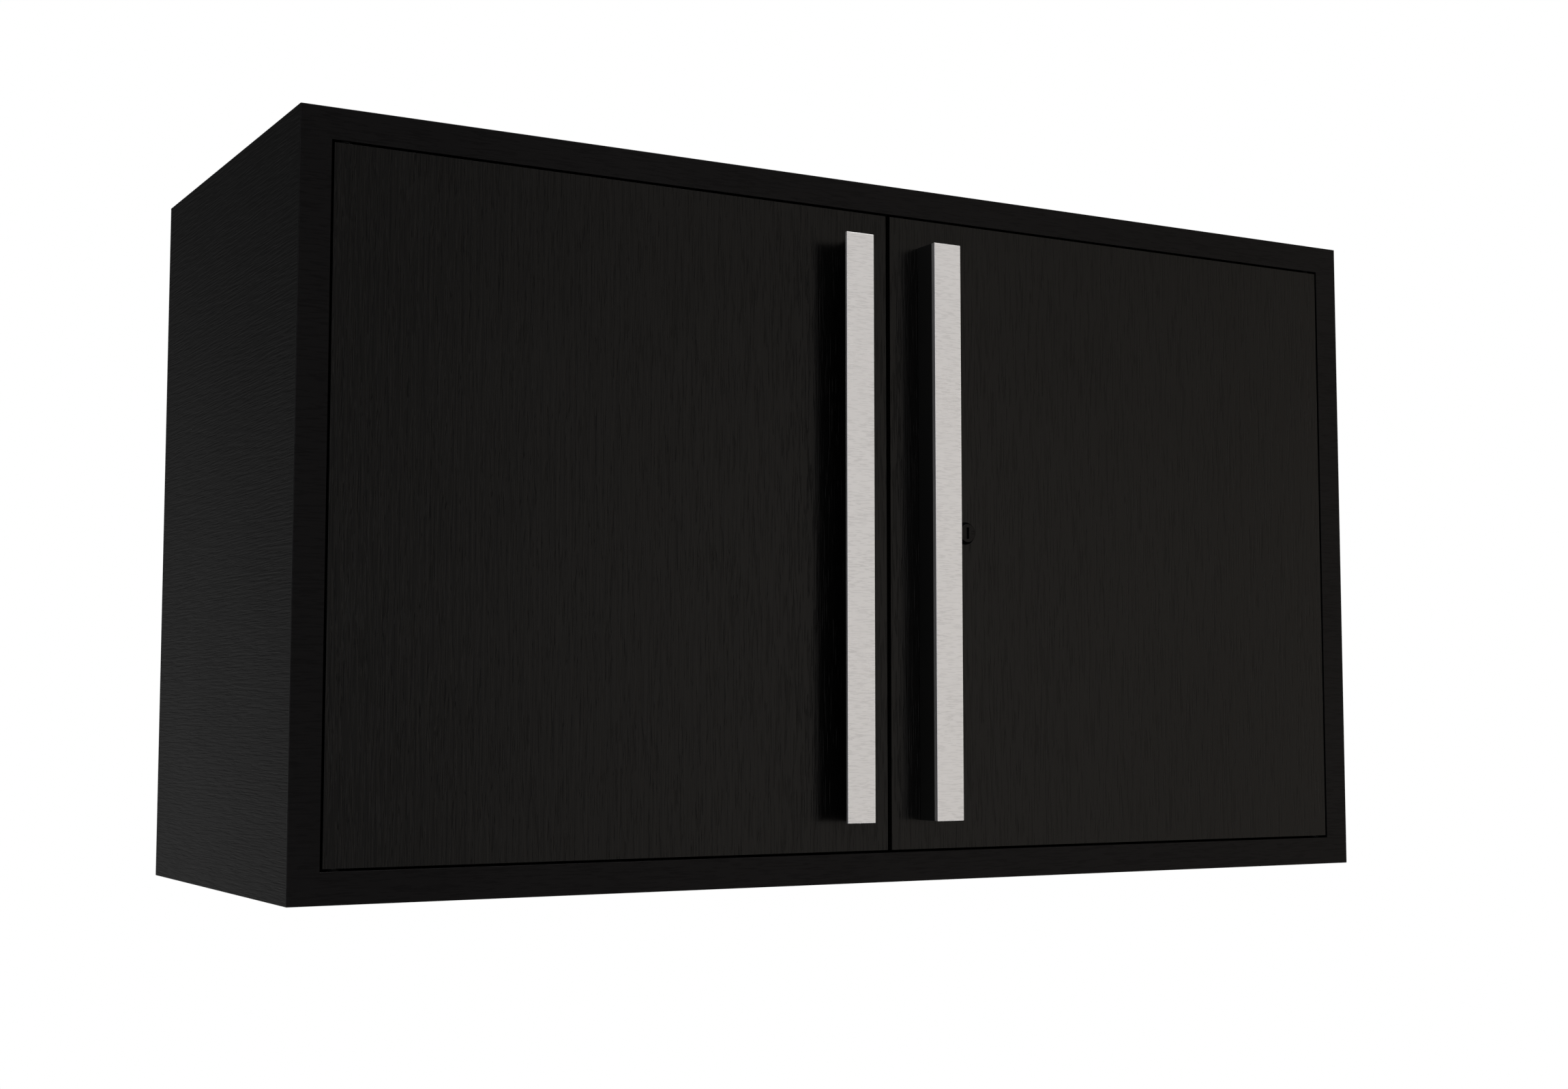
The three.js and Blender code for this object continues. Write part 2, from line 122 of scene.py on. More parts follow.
def lathe(name, profile, centre, axis="y", seg=64):
    """Closed turned solid: profile is (place on the axis, radius) pairs in mm,
    from centre; it starts and ends on the axis or closes on itself."""
    bm = bmesh.new()
    rings = []
    for a, r in profile:
        ring = []
        for i in range(seg if r > 1e-6 else 1):
            t = 2 * math.pi * i / seg
            u, v = r * math.cos(t) * MM, r * math.sin(t) * MM
            w = a * MM
            co = {"y": (u, w, v), "z": (u, v, w), "x": (w, u, v)}[axis]
            ring.append(bm.verts.new(Vector(co) + centre))
        rings.append(ring)
    closed = profile[0][1] > 1e-6
    pairs = list(zip(rings, rings[1:])) + ([(rings[-1], rings[0])] if closed else [])
    for p, q in pairs:
        for i in range(seg):
            j = (i + 1) % seg
            loop = []
            for v in (p[i % len(p)], p[j % len(p)], q[j % len(q)], q[i % len(q)]):
                if v not in loop:
                    loop.append(v)
            if len(loop) > 2:
                bm.faces.new(loop)
    bmesh.ops.recalc_face_normals(bm, faces=bm.faces[:])
    return make_object(name, bm)


def boolean(obj, tool, operation="DIFFERENCE", keep=False):
    m = obj.modifiers.new("cut", "BOOLEAN")
    m.operation, m.object, m.solver = operation, tool, "EXACT"
    deps = bpy.context.evaluated_depsgraph_get()
    mesh = bpy.data.meshes.new_from_object(obj.evaluated_get(deps))
    obj.modifiers.clear()
    obj.data = mesh
    if not keep:
        bpy.data.objects.remove(tool)
    return obj


def flatten(obj):
    bm = bmesh.new()
    bm.from_mesh(obj.data)
    bmesh.ops.remove_doubles(bm, verts=bm.verts, dist=2e-6)
    bmesh.ops.dissolve_limit(bm, angle_limit=math.radians(0.4),
                             verts=bm.verts[:], edges=bm.edges[:])
    bm.normal_update()
    bm.to_mesh(obj.data)
    bm.free()


def round_edges(obj, radius, rule=None, segments=3, limit=24):
    """Rounds the sharp edges; rule(edge middle, edge) gives its own radius in mm."""
    bm = bmesh.new()
    bm.from_mesh(obj.data)
    layer = bm.edges.layers.float.get("bevel_weight_edge") or \
        bm.edges.layers.float.new("bevel_weight_edge")
    top = radius
    found = []
    for e in bm.edges:
        if len(e.link_faces) != 2 or e.calc_face_angle(0) < math.radians(limit):
            continue
        r = radius
        if rule:
            r = rule((e.verts[0].co + e.verts[1].co) / 2, e)
            r = radius if r is None else r
        found.append((e, r))
        top = max(top, r)
    for e, r in found:
        e[layer] = r / top if top else 0
    bm.to_mesh(obj.data)
    bm.free()
    m = obj.modifiers.new("round", "BEVEL")
    m.limit_method, m.width, m.segments = "WEIGHT", top * MM, segments
    m.use_clamp_overlap = True
    m.miter_outer = "MITER_ARC"
    apply_all(obj)


def apply_all(obj):
    deps = bpy.context.evaluated_depsgraph_get()
    mesh = bpy.data.meshes.new_from_object(obj.evaluated_get(deps))
    obj.modifiers.clear()
    obj.data = mesh


def smooth(obj):
    for p in obj.data.polygons:
        p.use_smooth = True
    m = obj.modifiers.new("normals", "WEIGHTED_NORMAL")
    m.mode, m.weight, m.keep_sharp = "FACE_AREA", 60, False
    apply_all(obj)


def flat_faces(obj):
    """Large flat faces keep their own normal right up to their edges."""
    me = obj.data
    normals = [Vector(n.vector) for n in me.corner_normals]
    near = {}
    for p in me.polygons:
        for k in p.edge_keys:
            near.setdefault(k, []).append(p.index)
    for p in me.polygons:
        if p.area < 4e-6:
            continue
        own = Vector(p.normal)
        bends = [own.angle(me.polygons[q].normal, 0) for k in p.edge_keys
                 for q in near[k] if q != p.index]
        if any(math.radians(1) < b < math.radians(15.5) for b in bends):
            continue
        for i in p.loop_indices:
            normals[i] = own
    me.normals_split_custom_set(normals)


def mark_wear(obj):
    """Attribute "wear": 1 on the narrow faces of rounded edges, 0 elsewhere."""
    me = obj.data
    near = {}
    for p in me.polygons:
        for k in p.edge_keys:
            near.setdefault(k, []).append(p.index)
    values = []
    for p in me.polygons:
        around = sum((me.vertices[a].co - me.vertices[b].co).length for a, b in p.edge_keys)
        narrow = 2 * p.area / max(around, 1e-9) < 0.65 * MM
        worn = narrow and any(p.normal.angle(me.polygons[q].normal, 0) > math.radians(8)
                              for k in p.edge_keys for q in near[k] if q != p.index)
        values += [1.0 if worn else 0.0] * p.loop_total
    layer = me.attributes.get("wear") or me.attributes.new("wear", "FLOAT", "CORNER")
    layer.data.foreach_set("value", values)


def finish_piece(obj, body, material, replaces=(), faces=None):
    """Smooths, paints and mounts a piece. faces(polygon) picks the material's
    number where material is a list."""
    smooth(obj)
    flat_faces(obj)
    mark_wear(obj)
    mats = material if isinstance(material, (list, tuple)) else [material]
    obj.data.materials.clear()
    for m in mats:
        obj.data.materials.append(m)
    for p in obj.data.polygons:
        p.material_index = faces(p) if faces else 0
    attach(obj, body)
    if replaces:
        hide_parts(*replaces)
    return obj


def from_cad(name, node, material, radius=0.3, rule=None, segments=2,
             faces=None, cutters=()):
    obj = make_object(name, cad_bmesh(node))
    for tool in cutters:
        boolean(obj, tool)
    if cutters:
        flatten(obj)
    round_edges(obj, radius, rule, segments)
    return finish_piece(obj, N[node]["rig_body"], material, [node], faces)


# ---------------------------------------------------------------- materials
class Nodes:
    """A short way to write a material's node tree."""

    def __init__(self, name):
        self.mat = bpy.data.materials.new(name)
        self.mat.use_nodes = True
        self.tree = self.mat.node_tree
        self.bsdf = self.tree.nodes["Principled BSDF"]
        coords = self.tree.nodes.new("ShaderNodeTexCoord")
        self.at = coords.outputs["Object"]

    def node(self, kind, **values):
        n = self.tree.nodes.new(kind)
        for k, v in values.items():
            setattr(n, k, v)
        return n

    def link(self, a, b):
        self.tree.links.new(a, b)

    def put(self, socket, value):
        if isinstance(value, bpy.types.NodeSocket):
            self.link(value, socket)
        else:
            socket.default_value = value

    def math(self, op, a, b=0.0, c=0.0):
        n = self.node("ShaderNodeMath", operation=op)
        for s, v in zip(n.inputs, (a, b, c)):
            self.put(s, v)
        return n.outputs[0]

    def vmath(self, op, a, b=(0, 0, 0)):
        n = self.node("ShaderNodeVectorMath", operation=op)
        self.put(n.inputs[0], a)
        self.put(n.inputs[1], b)
        return n.outputs["Vector"]

    def noise(self, at, scale=1.0, detail=2.0, rough=0.5, distort=0.0, dims="3D"):
        n = self.node("ShaderNodeTexNoise", noise_dimensions=dims)
        self.put(n.inputs["Vector"], at)
        n.inputs["Scale"].default_value = scale
        n.inputs["Detail"].default_value = detail
        n.inputs["Roughness"].default_value = rough
        n.inputs["Distortion"].default_value = distort
        return n.outputs["Fac"]

    def stretch(self, at, scale):
        return self.vmath("MULTIPLY", at, scale)

    def span(self, value, a, b, c, d, kind="LINEAR"):
        n = self.node("ShaderNodeMapRange", interpolation_type=kind)
        for s, v in zip(("Value", "From Min", "From Max", "To Min", "To Max"),
                        (value, a, b, c, d)):
            self.put(n.inputs[s], v)
        return n.outputs["Result"]

    def shade(self, colour, factor):
        """colour x factor, per channel."""
        n = self.node("ShaderNodeVectorMath", operation="SCALE")
        n.inputs[0].default_value = colour[:3]
        self.put(n.inputs["Scale"], factor)
        return n.outputs["Vector"]

    def mix(self, fac, a, b):
        n = self.node("ShaderNodeMix", data_type="RGBA")
        self.put(n.inputs["Factor"], fac)
        self.put(n.inputs[6], a)
        self.put(n.inputs[7], b)
        return n.outputs[2]

    def edges(self):
        """0 on flat faces, up to 1 in patches along rounded edges."""
        a = self.node("ShaderNodeAttribute", attribute_name="wear")
        patchy = self.noise(self.stretch(self.at, (150, 150, 150)), 1.0, 2.0, 0.6)
        return self.math("MULTIPLY", a.outputs["Fac"], self.span(patchy, 0.35, 0.65, 0.25, 1.0))

    def bump(self, height, distance, strength=1.0):
        n = self.node("ShaderNodeBump")
        n.inputs["Strength"].default_value = strength
        n.inputs["Distance"].default_value = distance
        self.put(n.inputs["Height"], height)
        self.link(n.outputs["Normal"], self.bsdf.inputs["Normal"])


def rgba(c):
    return (c[0], c[1], c[2], 1.0)


def grained(name, base, slow, pitch, length, rough, metallic, tone=0.02,
            depth=0.035, relief=0.4, scratch=1.0, line=0.12, edge=0.15, tilt=0.0012,
            spec=0.5, blotch=0.05, rough_var=0.02, wave=24.0, dense=0.58, broad=0.55,
            sway="z"):
    """Embossed grain: short dark grooves in a low, broad relief.  slow: the axes
    along the grain ('x', 'xy'...), pitch and length of the grooves in mm; sway: the
    axis across the grain, in the face, along which the grooves wander."""
    m = Nodes(name)
    # the grain wanders a little, so that grooves tilt and wave
    wander = m.node("ShaderNodeTexNoise", noise_dimensions="3D")
    m.link(m.stretch(m.at, (wave, wave, wave)), wander.inputs["Vector"])
    wander.inputs["Scale"].default_value = 1.0
    wander.inputs["Detail"].default_value = 1.0
    off = m.vmath("SUBTRACT", wander.outputs["Color"], (0.5, 0.5, 0.5))
    at = m.vmath("ADD", m.at, m.stretch(off, tuple(tilt if a == sway else 0 for a in "xyz")))
    f, s = 1.0 / (pitch * MM), 1.0 / (length * MM)

    def along(across, lengthwise):
        return tuple(s * lengthwise if a in slow else f * across for a in "xyz")

    coarse = m.noise(m.stretch(at, along(broad, 0.6)), 1.0, 1.0, 0.5)
    flat = m.span(coarse, 0.35, 0.65, 0.0, 1.0, "SMOOTHSTEP")
    small = m.noise(m.stretch(at, along(1.0, 1.0)), 1.0, 1.0, 0.5)
    groove = m.math("SUBTRACT", m.span(small, dense, dense + 0.10, 0.0, 1.0, "SMOOTHSTEP"),
                    m.span(small, dense + 0.12, dense + 0.22, 0.0, 0.55, "SMOOTHSTEP"))
    hair = m.noise(m.stretch(at, along(3.6, 0.6)), 1.0, 1.0, 0.5)
    cloud = m.noise(m.stretch(m.at, (6, 6, 6)), 1.0, 2.0, 0.5)
    clump = m.noise(m.stretch(m.at, (40, 40, 40)), 1.0, 1.0, 0.5)
    groove = m.math("MULTIPLY", groove, m.span(clump, 0.38, 0.6, 0.7, 1.0))
    height = m.math("MULTIPLY", flat, relief)
    height = m.math("MULTIPLY_ADD", groove, -scratch, height)
    height = m.math("MULTIPLY_ADD", hair, 0.05, height)
    factor = m.math("ADD", m.span(coarse, 0.3, 0.7, 1 - tone, 1 + tone),
                    m.span(cloud, 0.3, 0.7, -blotch, blotch))
    factor = m.math("MULTIPLY_ADD", groove, -line, factor)
    factor = m.math("ADD", factor, m.span(hair, 0.3, 0.7, -tone * 0.5, tone * 0.5))
    worn = m.edges()
    factor = m.math("MULTIPLY_ADD", worn, edge, factor)
    m.link(m.shade(base, factor), m.bsdf.inputs["Base Color"])
    r = m.span(hair, 0.3, 0.7, rough - rough_var, rough + rough_var)
    r = m.math("ADD", r, m.span(cloud, 0.3, 0.7, -0.02, 0.02))
    r = m.math("MULTIPLY_ADD", worn, -0.04, r)
    m.link(r, m.bsdf.inputs["Roughness"])
    m.bsdf.inputs["Metallic"].default_value = metallic
    m.bsdf.inputs["Specular IOR Level"].default_value = spec
    m.bump(height, depth * MM)
    return m.mat


def coat(name, base, rough, metallic=0.0, peel=1.6, depth=0.012, speck=0.25,
         tone=0.08, spec=0.5, edge=0.3):
    """Powder coat, moulded plastic or rubber: a fine all-round texture."""
    m = Nodes(name)
    f = 1.0 / (peel * MM)
    a = m.noise(m.stretch(m.at, (f, f, f)), 1.0, 1.5, 0.5)
    g = 1.0 / (speck * MM)
    b = m.noise(m.stretch(m.at, (g, g, g)), 1.0, 1.0, 0.5)
    cloud = m.noise(m.stretch(m.at, (9, 9, 9)), 1.0, 2.0, 0.5)
    factor = m.math("ADD", m.span(a, 0.3, 0.7, 1 - tone, 1 + tone),
                    m.span(cloud, 0.3, 0.7, -0.06, 0.06))
    factor = m.math("ADD", factor, m.span(b, 0.35, 0.65, -tone, tone))
    worn = m.edges()
    factor = m.math("MULTIPLY_ADD", worn, edge, factor)
    m.link(m.shade(base, factor), m.bsdf.inputs["Base Color"])
    m.link(m.span(b, 0.3, 0.7, rough - 0.05, rough + 0.05), m.bsdf.inputs["Roughness"])
    m.bsdf.inputs["Metallic"].default_value = metallic
    m.bsdf.inputs["Specular IOR Level"].default_value = spec
    m.bump(m.math("MULTIPLY_ADD", b, 0.3, a), depth * MM)
    return m.mat


def plated(name, base, rough=0.36, tone=0.10):
    """Zinc plating: faint spangle, fine drawn lines and cloudy tarnish."""
    m = Nodes(name)
    vor = m.node("ShaderNodeTexVoronoi", feature="F1")
    m.link(m.stretch(m.at, (260, 260, 260)), vor.inputs["Vector"])
    vor.inputs["Scale"].default_value = 1.0
    cell = m.math("MULTIPLY_ADD", vor.outputs["Color"], 1.0, 0.0)
    cloud = m.noise(m.stretch(m.at, (70, 70, 70)), 1.0, 3.0, 0.55)
    lines = m.noise(m.stretch(m.at, (2600, 2600, 160)), 1.0, 1.0, 0.5)
    factor = m.math("ADD", m.span(cloud, 0.3, 0.7, 1 - tone, 1 + tone),
                    m.span(cell, 0.0, 1.0, -0.04, 0.04))
    factor = m.math("ADD", factor, m.span(lines, 0.3, 0.7, -0.03, 0.03))
    m.link(m.shade(base, factor), m.bsdf.inputs["Base Color"])
    m.link(m.span(cloud, 0.3, 0.7, rough - 0.06, rough + 0.08), m.bsdf.inputs["Roughness"])
    m.bsdf.inputs["Metallic"].default_value = 1.0
    m.bump(m.math("MULTIPLY_ADD", lines, 0.5, cloud), 0.006 * MM)
    return m.mat


def turned(name, base, rough, centre, metallic=1.0, rings=0.22, tone=0.12):
    """Lathe-turned face: fine rings about an axis along Y."""
    m = Nodes(name)
    off = m.vmath("SUBTRACT", m.at, tuple(centre))
    flat = m.vmath("MULTIPLY", off, (1, 0, 1))
    n = m.node("ShaderNodeVectorMath", operation="LENGTH")
    m.link(flat, n.inputs[0])
    radius = n.outputs["Value"]
    comb = m.node("ShaderNodeCombineXYZ")
    m.link(m.math("MULTIPLY", radius, 1 / (rings * MM)), comb.inputs[0])
    sep = m.node("ShaderNodeSeparateXYZ")
    m.link(off, sep.inputs[0])
    m.link(m.math("MULTIPLY", sep.outputs["Y"], 1 / (rings * MM)), comb.inputs[1])
    ring = m.noise(comb.outputs[0], 1.0, 1.5, 0.6)
    cloud = m.noise(m.stretch(m.at, (220, 220, 220)), 1.0, 2.0, 0.5)
    factor = m.math("ADD", m.span(ring, 0.3, 0.7, 1 - tone, 1 + tone),
                    m.span(cloud, 0.3, 0.7, -0.07, 0.07))
    worn = m.edges()
    factor = m.math("MULTIPLY_ADD", worn, 0.5, factor)
    m.link(m.shade(base, factor), m.bsdf.inputs["Base Color"])
    m.link(m.span(ring, 0.3, 0.7, rough - 0.05, rough + 0.06), m.bsdf.inputs["Roughness"])
    m.bsdf.inputs["Metallic"].default_value = metallic
    m.bump(ring, 0.004 * MM)
    return m.mat


DOOR = (0.0258, 0.0252, 0.0252)
SHELL = (0.0148, 0.0142, 0.0149)
M = {
    "frame": grained("frame_finish", SHELL, "xy", 1.4, 18, 0.33, 0.9, depth=0.035,
                     line=0.24, relief=0.3, dense=0.515, spec=0.15, tilt=0.0006, edge=0.1),
    "side": grained("side_finish", (0.0185, 0.0180, 0.0183), "xy", 1.2, 27, 0.33, 0.95, broad=0.62,
                    depth=0.16, dense=0.50, line=0.12, spec=0.2, relief=1.0, scratch=0.8,
                    tilt=0.0008, wave=12.0, edge=0.1),
    "top": grained("top_finish", SHELL, "x", 1.4, 18, 0.33, 0.9, sway="y", depth=0.06,
                   line=0.26, relief=0.3, dense=0.515, spec=0.15, tilt=0.0006, edge=0.1),
    "door": grained("door_finish", DOOR, "z", 1.45, 36, 0.235, 0.96, sway="x", depth=0.08,
                    tilt=0.0005, spec=0.3, line=0.17, dense=0.53, relief=0.5, edge=0.08,
                    blotch=0.03, wave=16.0),
    "pull": grained("pull_finish", (0.875, 0.86, 0.865), "x", 0.95, 10, 0.30, 0.6,
                    tone=0.012, depth=0.012, edge=0.10, blotch=0.01, line=0.14, dense=0.52,
                    tilt=0.0002),
    # pull_edge: a darker copy of the pull metal for the pull's edges, painted shade on faces turned
    # from the light
    "pull_edge": grained("pull_edge_painted_shade", (0.52, 0.51, 0.515), "z", 1.3, 7, 0.34, 0.8,
                         tone=0.012, depth=0.008, edge=0.05, blotch=0.02, line=0.05,
                         tilt=0.0002, spec=0.3, sway="y"),
    "web": coat("web_finish", (0.0036, 0.0036, 0.0036), 0.42, 0.0, spec=0.35, depth=0.004,
                tone=0.03),
    "inner": coat("inner_finish", (0.050, 0.050, 0.052), 0.5, 0.0, peel=1.8, depth=0.02),
    "zinc": plated("zinc_finish", (0.50, 0.505, 0.515)),
    "nylon": coat("nylon_finish", (0.014, 0.014, 0.0145), 0.5, 0.0, peel=0.9, depth=0.008),
    "rubber": coat("rubber_finish", (0.010, 0.010, 0.010), 0.75, 0.0, peel=0.7, depth=0.01),
    "bushing": coat("bushing_finish", (0.0035, 0.0035, 0.0035), 0.75, 0.0, spec=0.05,
                    edge=0.0),
    "pin": coat("pin_finish", (0.006, 0.006, 0.006), 0.4, 0.0, spec=0.3),
    "lock": turned("lock_finish", (0.0225, 0.0217, 0.0222), 0.3, LOCK),
    # flank: near-black and unreflecting, painted shade on the lock collar's cone
    "flank": coat("lock_flank_painted_shade", (0.002, 0.002, 0.002), 0.85, 0.0, spec=0.0, edge=0.0),
    # dark: near-black for the keyway and the index-mark grooves, painted shade in the recesses
    "dark": coat("recess_painted_shade", (0.003, 0.003, 0.003), 0.7, 0.0, spec=0.2),
}


# ------------------------------------------------------------------- cabinet
# Face frame: one flat face with the folds of its returns, as it looks once
# the four members are welded and dressed.
plate = box_object("face_frame", -XO, XO, FACE, SIDE_Y, 0, H)
for ends in ((XF - 0.0, XF + SHEET, SIDE_Y - SHEET, RET_STILE, FRAME - SHEET, H - FRAME + SHEET),
             (-XF - SHEET, -XF, SIDE_Y - SHEET, RET_STILE, FRAME - SHEET, H - FRAME + SHEET),
             (-XF - SHEET, XF + SHEET, SIDE_Y - SHEET, RET_RAIL, H - FRAME, H - FRAME + SHEET),
             (-XF - SHEET, XF + SHEET, SIDE_Y - SHEET, RET_RAIL, FRAME - SHEET, FRAME)):
    boolean(plate, box_object("t", *ends), "UNION")
boolean(plate, box_object("t", -XF, XF, FACE - 0.01, RET_RAIL + 0.01, FRAME, H - FRAME))
for end in ("top", "bottom"):
    for s in ("left", "right"):
        z = H - FRAME if end == "top" else FRAME
        boolean(plate, lathe("t", [(-4, 0), (-4, 4.1), (4, 4.1), (4, 0)],
                             Vector((HINGE[s].x, HINGE[s].y, z)), "z", 40))
for node, z in (("lock_rod_upper", H - FRAME), ("lock_rod_lower", FRAME)):
    lo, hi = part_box(node)
    tip = Vector(((lo.x + hi.x) / 2, 0, 0))
    xs = [v.co.x for v in N[node].data.vertices
          if abs(v.co.z - (hi.z if z > H / 2 else lo.z)) < 1e-4]
    mid = (min(xs) + max(xs)) / 2
    boolean(plate, box_object("t", mid - 8 * MM, mid + 8 * MM, FACE + 20 * MM,
                              RET_RAIL + 0.001, z - 0.004, z + 0.004))
flatten(plate)


def frame_rule(c, e):
    d = (e.verts[1].co - e.verts[0].co)
    outer = abs(abs(c.x) - XO) < 1e-5 or c.z < 1e-5 or abs(c.z - H) < 1e-5
    if outer and abs(c.y - SIDE_Y) < 1e-5:
        return 0.0
    if outer and abs(c.y - FACE) < 1e-5:
        return 0.6
    if outer and abs(d.y) > 1e-6:
        return 0.6
    if abs(c.y - FACE) < 1e-5:
        return 0.2
    return 0.2


round_edges(plate, 0.25, frame_rule, 3)
finish_piece(plate, "carcass", [M["frame"], M["inner"]],
             ["frame_stile_left", "frame_stile_right", "frame_rail_top", "frame_rail_bottom"],
             lambda p: 0)

# Wrap: the two sides, the top and the bottom, welded along their corners.
wrap = box_object("cabinet_wrap", -XO, XO, SIDE_Y, BACK, 0, H)
boolean(wrap, box_object("t", -XO + SHEET, XO - SHEET, SIDE_Y - 0.01, BACK + 0.01,
                         SHEET, H - SHEET))
flatten(wrap)


def wrap_rule(c, e):
    d = (e.verts[1].co - e.verts[0].co)
    outer = abs(abs(c.x) - XO) < 1e-5 or c.z < 1e-5 or abs(c.z - H) < 1e-5
    if abs(c.y - SIDE_Y) < 1e-5:
        return 0.0
    if abs(d.y) > 0.1:
        return 0.6 if outer else 0.0
    return 0.3


round_edges(wrap, 0.3, wrap_rule, 3)


def wrap_face(p):
    c, n = p.center, p.normal
    inside = abs(c.x) < XO - SHEET * 0.5 and SHEET * 0.5 < c.z < H - SHEET * 0.5
    if inside:
        return 2
    return 0 if abs(n.x) > 0.7 else 1


finish_piece(wrap, "carcass", [M["side"], M["top"], M["inner"]],
             ["side_panel_left", "side_panel_right", "top_panel", "bottom_panel"],
             wrap_face)

from_cad("cabinet_back", "back_panel", M["inner"], 0.35)
for n in ("upper", "lower"):
    from_cad(f"wall_rail_{n}", f"hanging_rail_{n}", M["inner"], 0.45)

# Shelf: a tray turned over, with rounded front and side folds.
s_lo, s_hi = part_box("shelf")


def shelf_rule(c, e):
    d = (e.verts[1].co - e.verts[0].co)
    rim = (abs(c.x - s_lo.x) < 1e-5 or abs(c.x - s_hi.x) < 1e-5
           or abs(c.y - s_lo.y) < 1e-5 or abs(c.y - s_hi.y) < 1e-5)
    if rim and abs(c.z - s_hi.z) < 1e-5:
        return 1.8
    if rim and abs(d.z) > 0.01:
        return 1.2
    return 0.25


from_cad("shelf_tray", "shelf", M["inner"], 0.25, shelf_rule, 3)
for s in ("left", "right"):
    for p in ("front", "rear"):
        from_cad(f"standard_{s}_{p}", f"shelf_standard_{s}_{p}", M["zinc"], 0.25)
        from_cad(f"clip_{s}_{p}", f"shelf_clip_{s}_{p}", M["zinc"], 0.25)


# Magnetic catches: a moulded case, two steel pole plates at its front.
def catch_faces(front):
    return lambda p: 1 if p.center.y < front + 0.35 * MM else 0


for s in ("left", "right"):
    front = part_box(f"magnetic_catch_{s}")[0].y
    from_cad(f"catch_{s}", f"magnetic_catch_{s}", [M["nylon"], M["zinc"]],
             0.35, faces=catch_faces(front))
    from_cad(f"bumper_{s}", f"door_bumper_{s}", M["rubber"], 0.6)
    for end in ("top", "bottom"):
        from_cad(f"bushing_{s}_{end}", f"pivot_bushing_{s}_{end}", M["bushing"],
                 0.2)


# --------------------------------------------------------------------- doors
def door_rule(s):
    lo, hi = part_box(f"door_pan_{s}")

    def rule(c, e):
        d = (e.verts[1].co - e.verts[0].co)
        outer = (abs(c.x - lo.x) < 1e-5 or abs(c.x - hi.x) < 1e-5
                 or abs(c.z - lo.z) < 1e-5 or abs(c.z - hi.z) < 1e-5)
        if outer and abs(c.y - lo.y) < 1e-5:
            return 0.25
        if outer and abs(d.y) > 0.01:
            return 0.5
        return 0.2
    return rule


def pull_face(p):
    """Brushed front; the edges get a darker copy of the pull metal, painted shade on the edges; the
    back gets the web's black, painted shade for the dim gap behind the plate.
    """
    return 0 if p.normal.y < -0.5 else 2 if p.normal.y > 0.5 else 1


for s in ("left", "right"):
    from_cad(f"door_front_{s}", f"door_pan_{s}", M["door"], 0.2,
             door_rule(s), 3)
    from_cad(f"door_back_{s}", f"door_inner_panel_{s}", M["inner"], 0.2)
    from_cad(f"strike_{s}", f"catch_strike_{s}", M["zinc"], 0.3)
    from_cad(f"pull_front_{s}", f"pull_plate_{s}", [M["pull"], M["pull_edge"], M["web"]],
             0.45, segments=3, faces=pull_face)
    from_cad(f"pull_bracket_{s}", f"pull_web_{s}", M["web"], 0.3)
    for end in ("top", "bottom"):
        from_cad(f"pivot_{s}_{end}", f"pivot_pin_{s}_{end}", M["pin"], 0.3)
    N[f"door_stiffener_{s}"].data.materials.clear()
    N[f"door_stiffener_{s}"].data.materials.append(M["inner"])


def cross(centre, size, y0, y1):
    """Cross recess cutter along Y."""
    a = box_object("t", centre.x - size, centre.x + size, y0, y1,
                   centre.z - size * 0.25, centre.z + size * 0.25)
    b = box_object("t2", centre.x - size * 0.25, centre.x + size * 0.25, y0, y1,
                   centre.z - size, centre.z + size)
    return boolean(a, b, "UNION")


for s in ("left", "right"):
    for end in ("lower", "upper"):
        node = f"pull_screw_{s}_{end}"
        lo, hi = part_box(node)
        from_cad(f"screw_{s}_{end}", node, M["zinc"], 0.35,
                 cutters=[cross((lo + hi) / 2, 2.0 * MM, hi.y - 1.4 * MM, hi.y + 1 * MM)])

from_cad("side_bolt_keeper", "bolt_keeper", M["zinc"], 0.4)

# ---------------------------------------------------------------------- lock
R0, R1 = 10.1, 8.05
housing = lathe("lock_collar", [
    (-0.3, 7.72), (-0.3, 9.4), (-0.34, 9.94), (-0.5, 10.02), (-0.75, 9.94), (-4.1, 8.24),
    (-4.36, 8.12), (-4.47, 7.98), (-4.5, 7.84), (-4.49, 7.76), (-4.42, 7.72)], LOCK, "y", 128)
# the cone of the collar takes the flank material: painted shade
finish_piece(housing, "door_right", [M["lock"], M["flank"]], [],
             lambda p: 1 if p.normal.y > -0.8 else 0)
barrel = make_object("lock_barrel", cad_bmesh("lock_housing"))
boolean(barrel, box_object("t", LOCK.x - 0.02, LOCK.x + 0.02, FACE - 0.02, FACE + 0.0,
                           LOCK.z - 0.02, LOCK.z + 0.02))
flatten(barrel)
round_edges(barrel, 0.2)
finish_piece(barrel, "door_right", M["zinc"], ["lock_housing"])

plug = lathe("lock_core", [
    (-4.47, 0), (-4.47, 7.6), (-4.45, 7.66), (-4.38, 7.68), (-1.0, 7.68), (-0.8, 7.38),
    (19.3, 7.38), (19.4, 7.28), (19.4, 0)], LOCK, "y", 128)
boolean(plug, box_object("t", LOCK.x - 3.5 * MM, LOCK.x + 3.5 * MM, FACE + 19 * MM,
                         FACE + 23.2 * MM, LOCK.z - 3.5 * MM, LOCK.z + 3.5 * MM), "UNION")
boolean(plug, box_object("t", LOCK.x - 1.3 * MM, LOCK.x + 1.3 * MM, FACE - 6 * MM,
                         FACE + 10 * MM, LOCK.z - 5.25 * MM, LOCK.z + 5.25 * MM))
MARKS = (-0.4, 1.75)
for dz in MARKS:
    boolean(plug, box_object("t", LOCK.x + 3.6 * MM, LOCK.x + 9 * MM, FACE - 6 * MM,
                             FACE - 4.1 * MM, LOCK.z + (dz - 0.2) * MM,
                             LOCK.z + (dz + 0.2) * MM))
flatten(plug)
round_edges(plug, 0.07, segments=2)
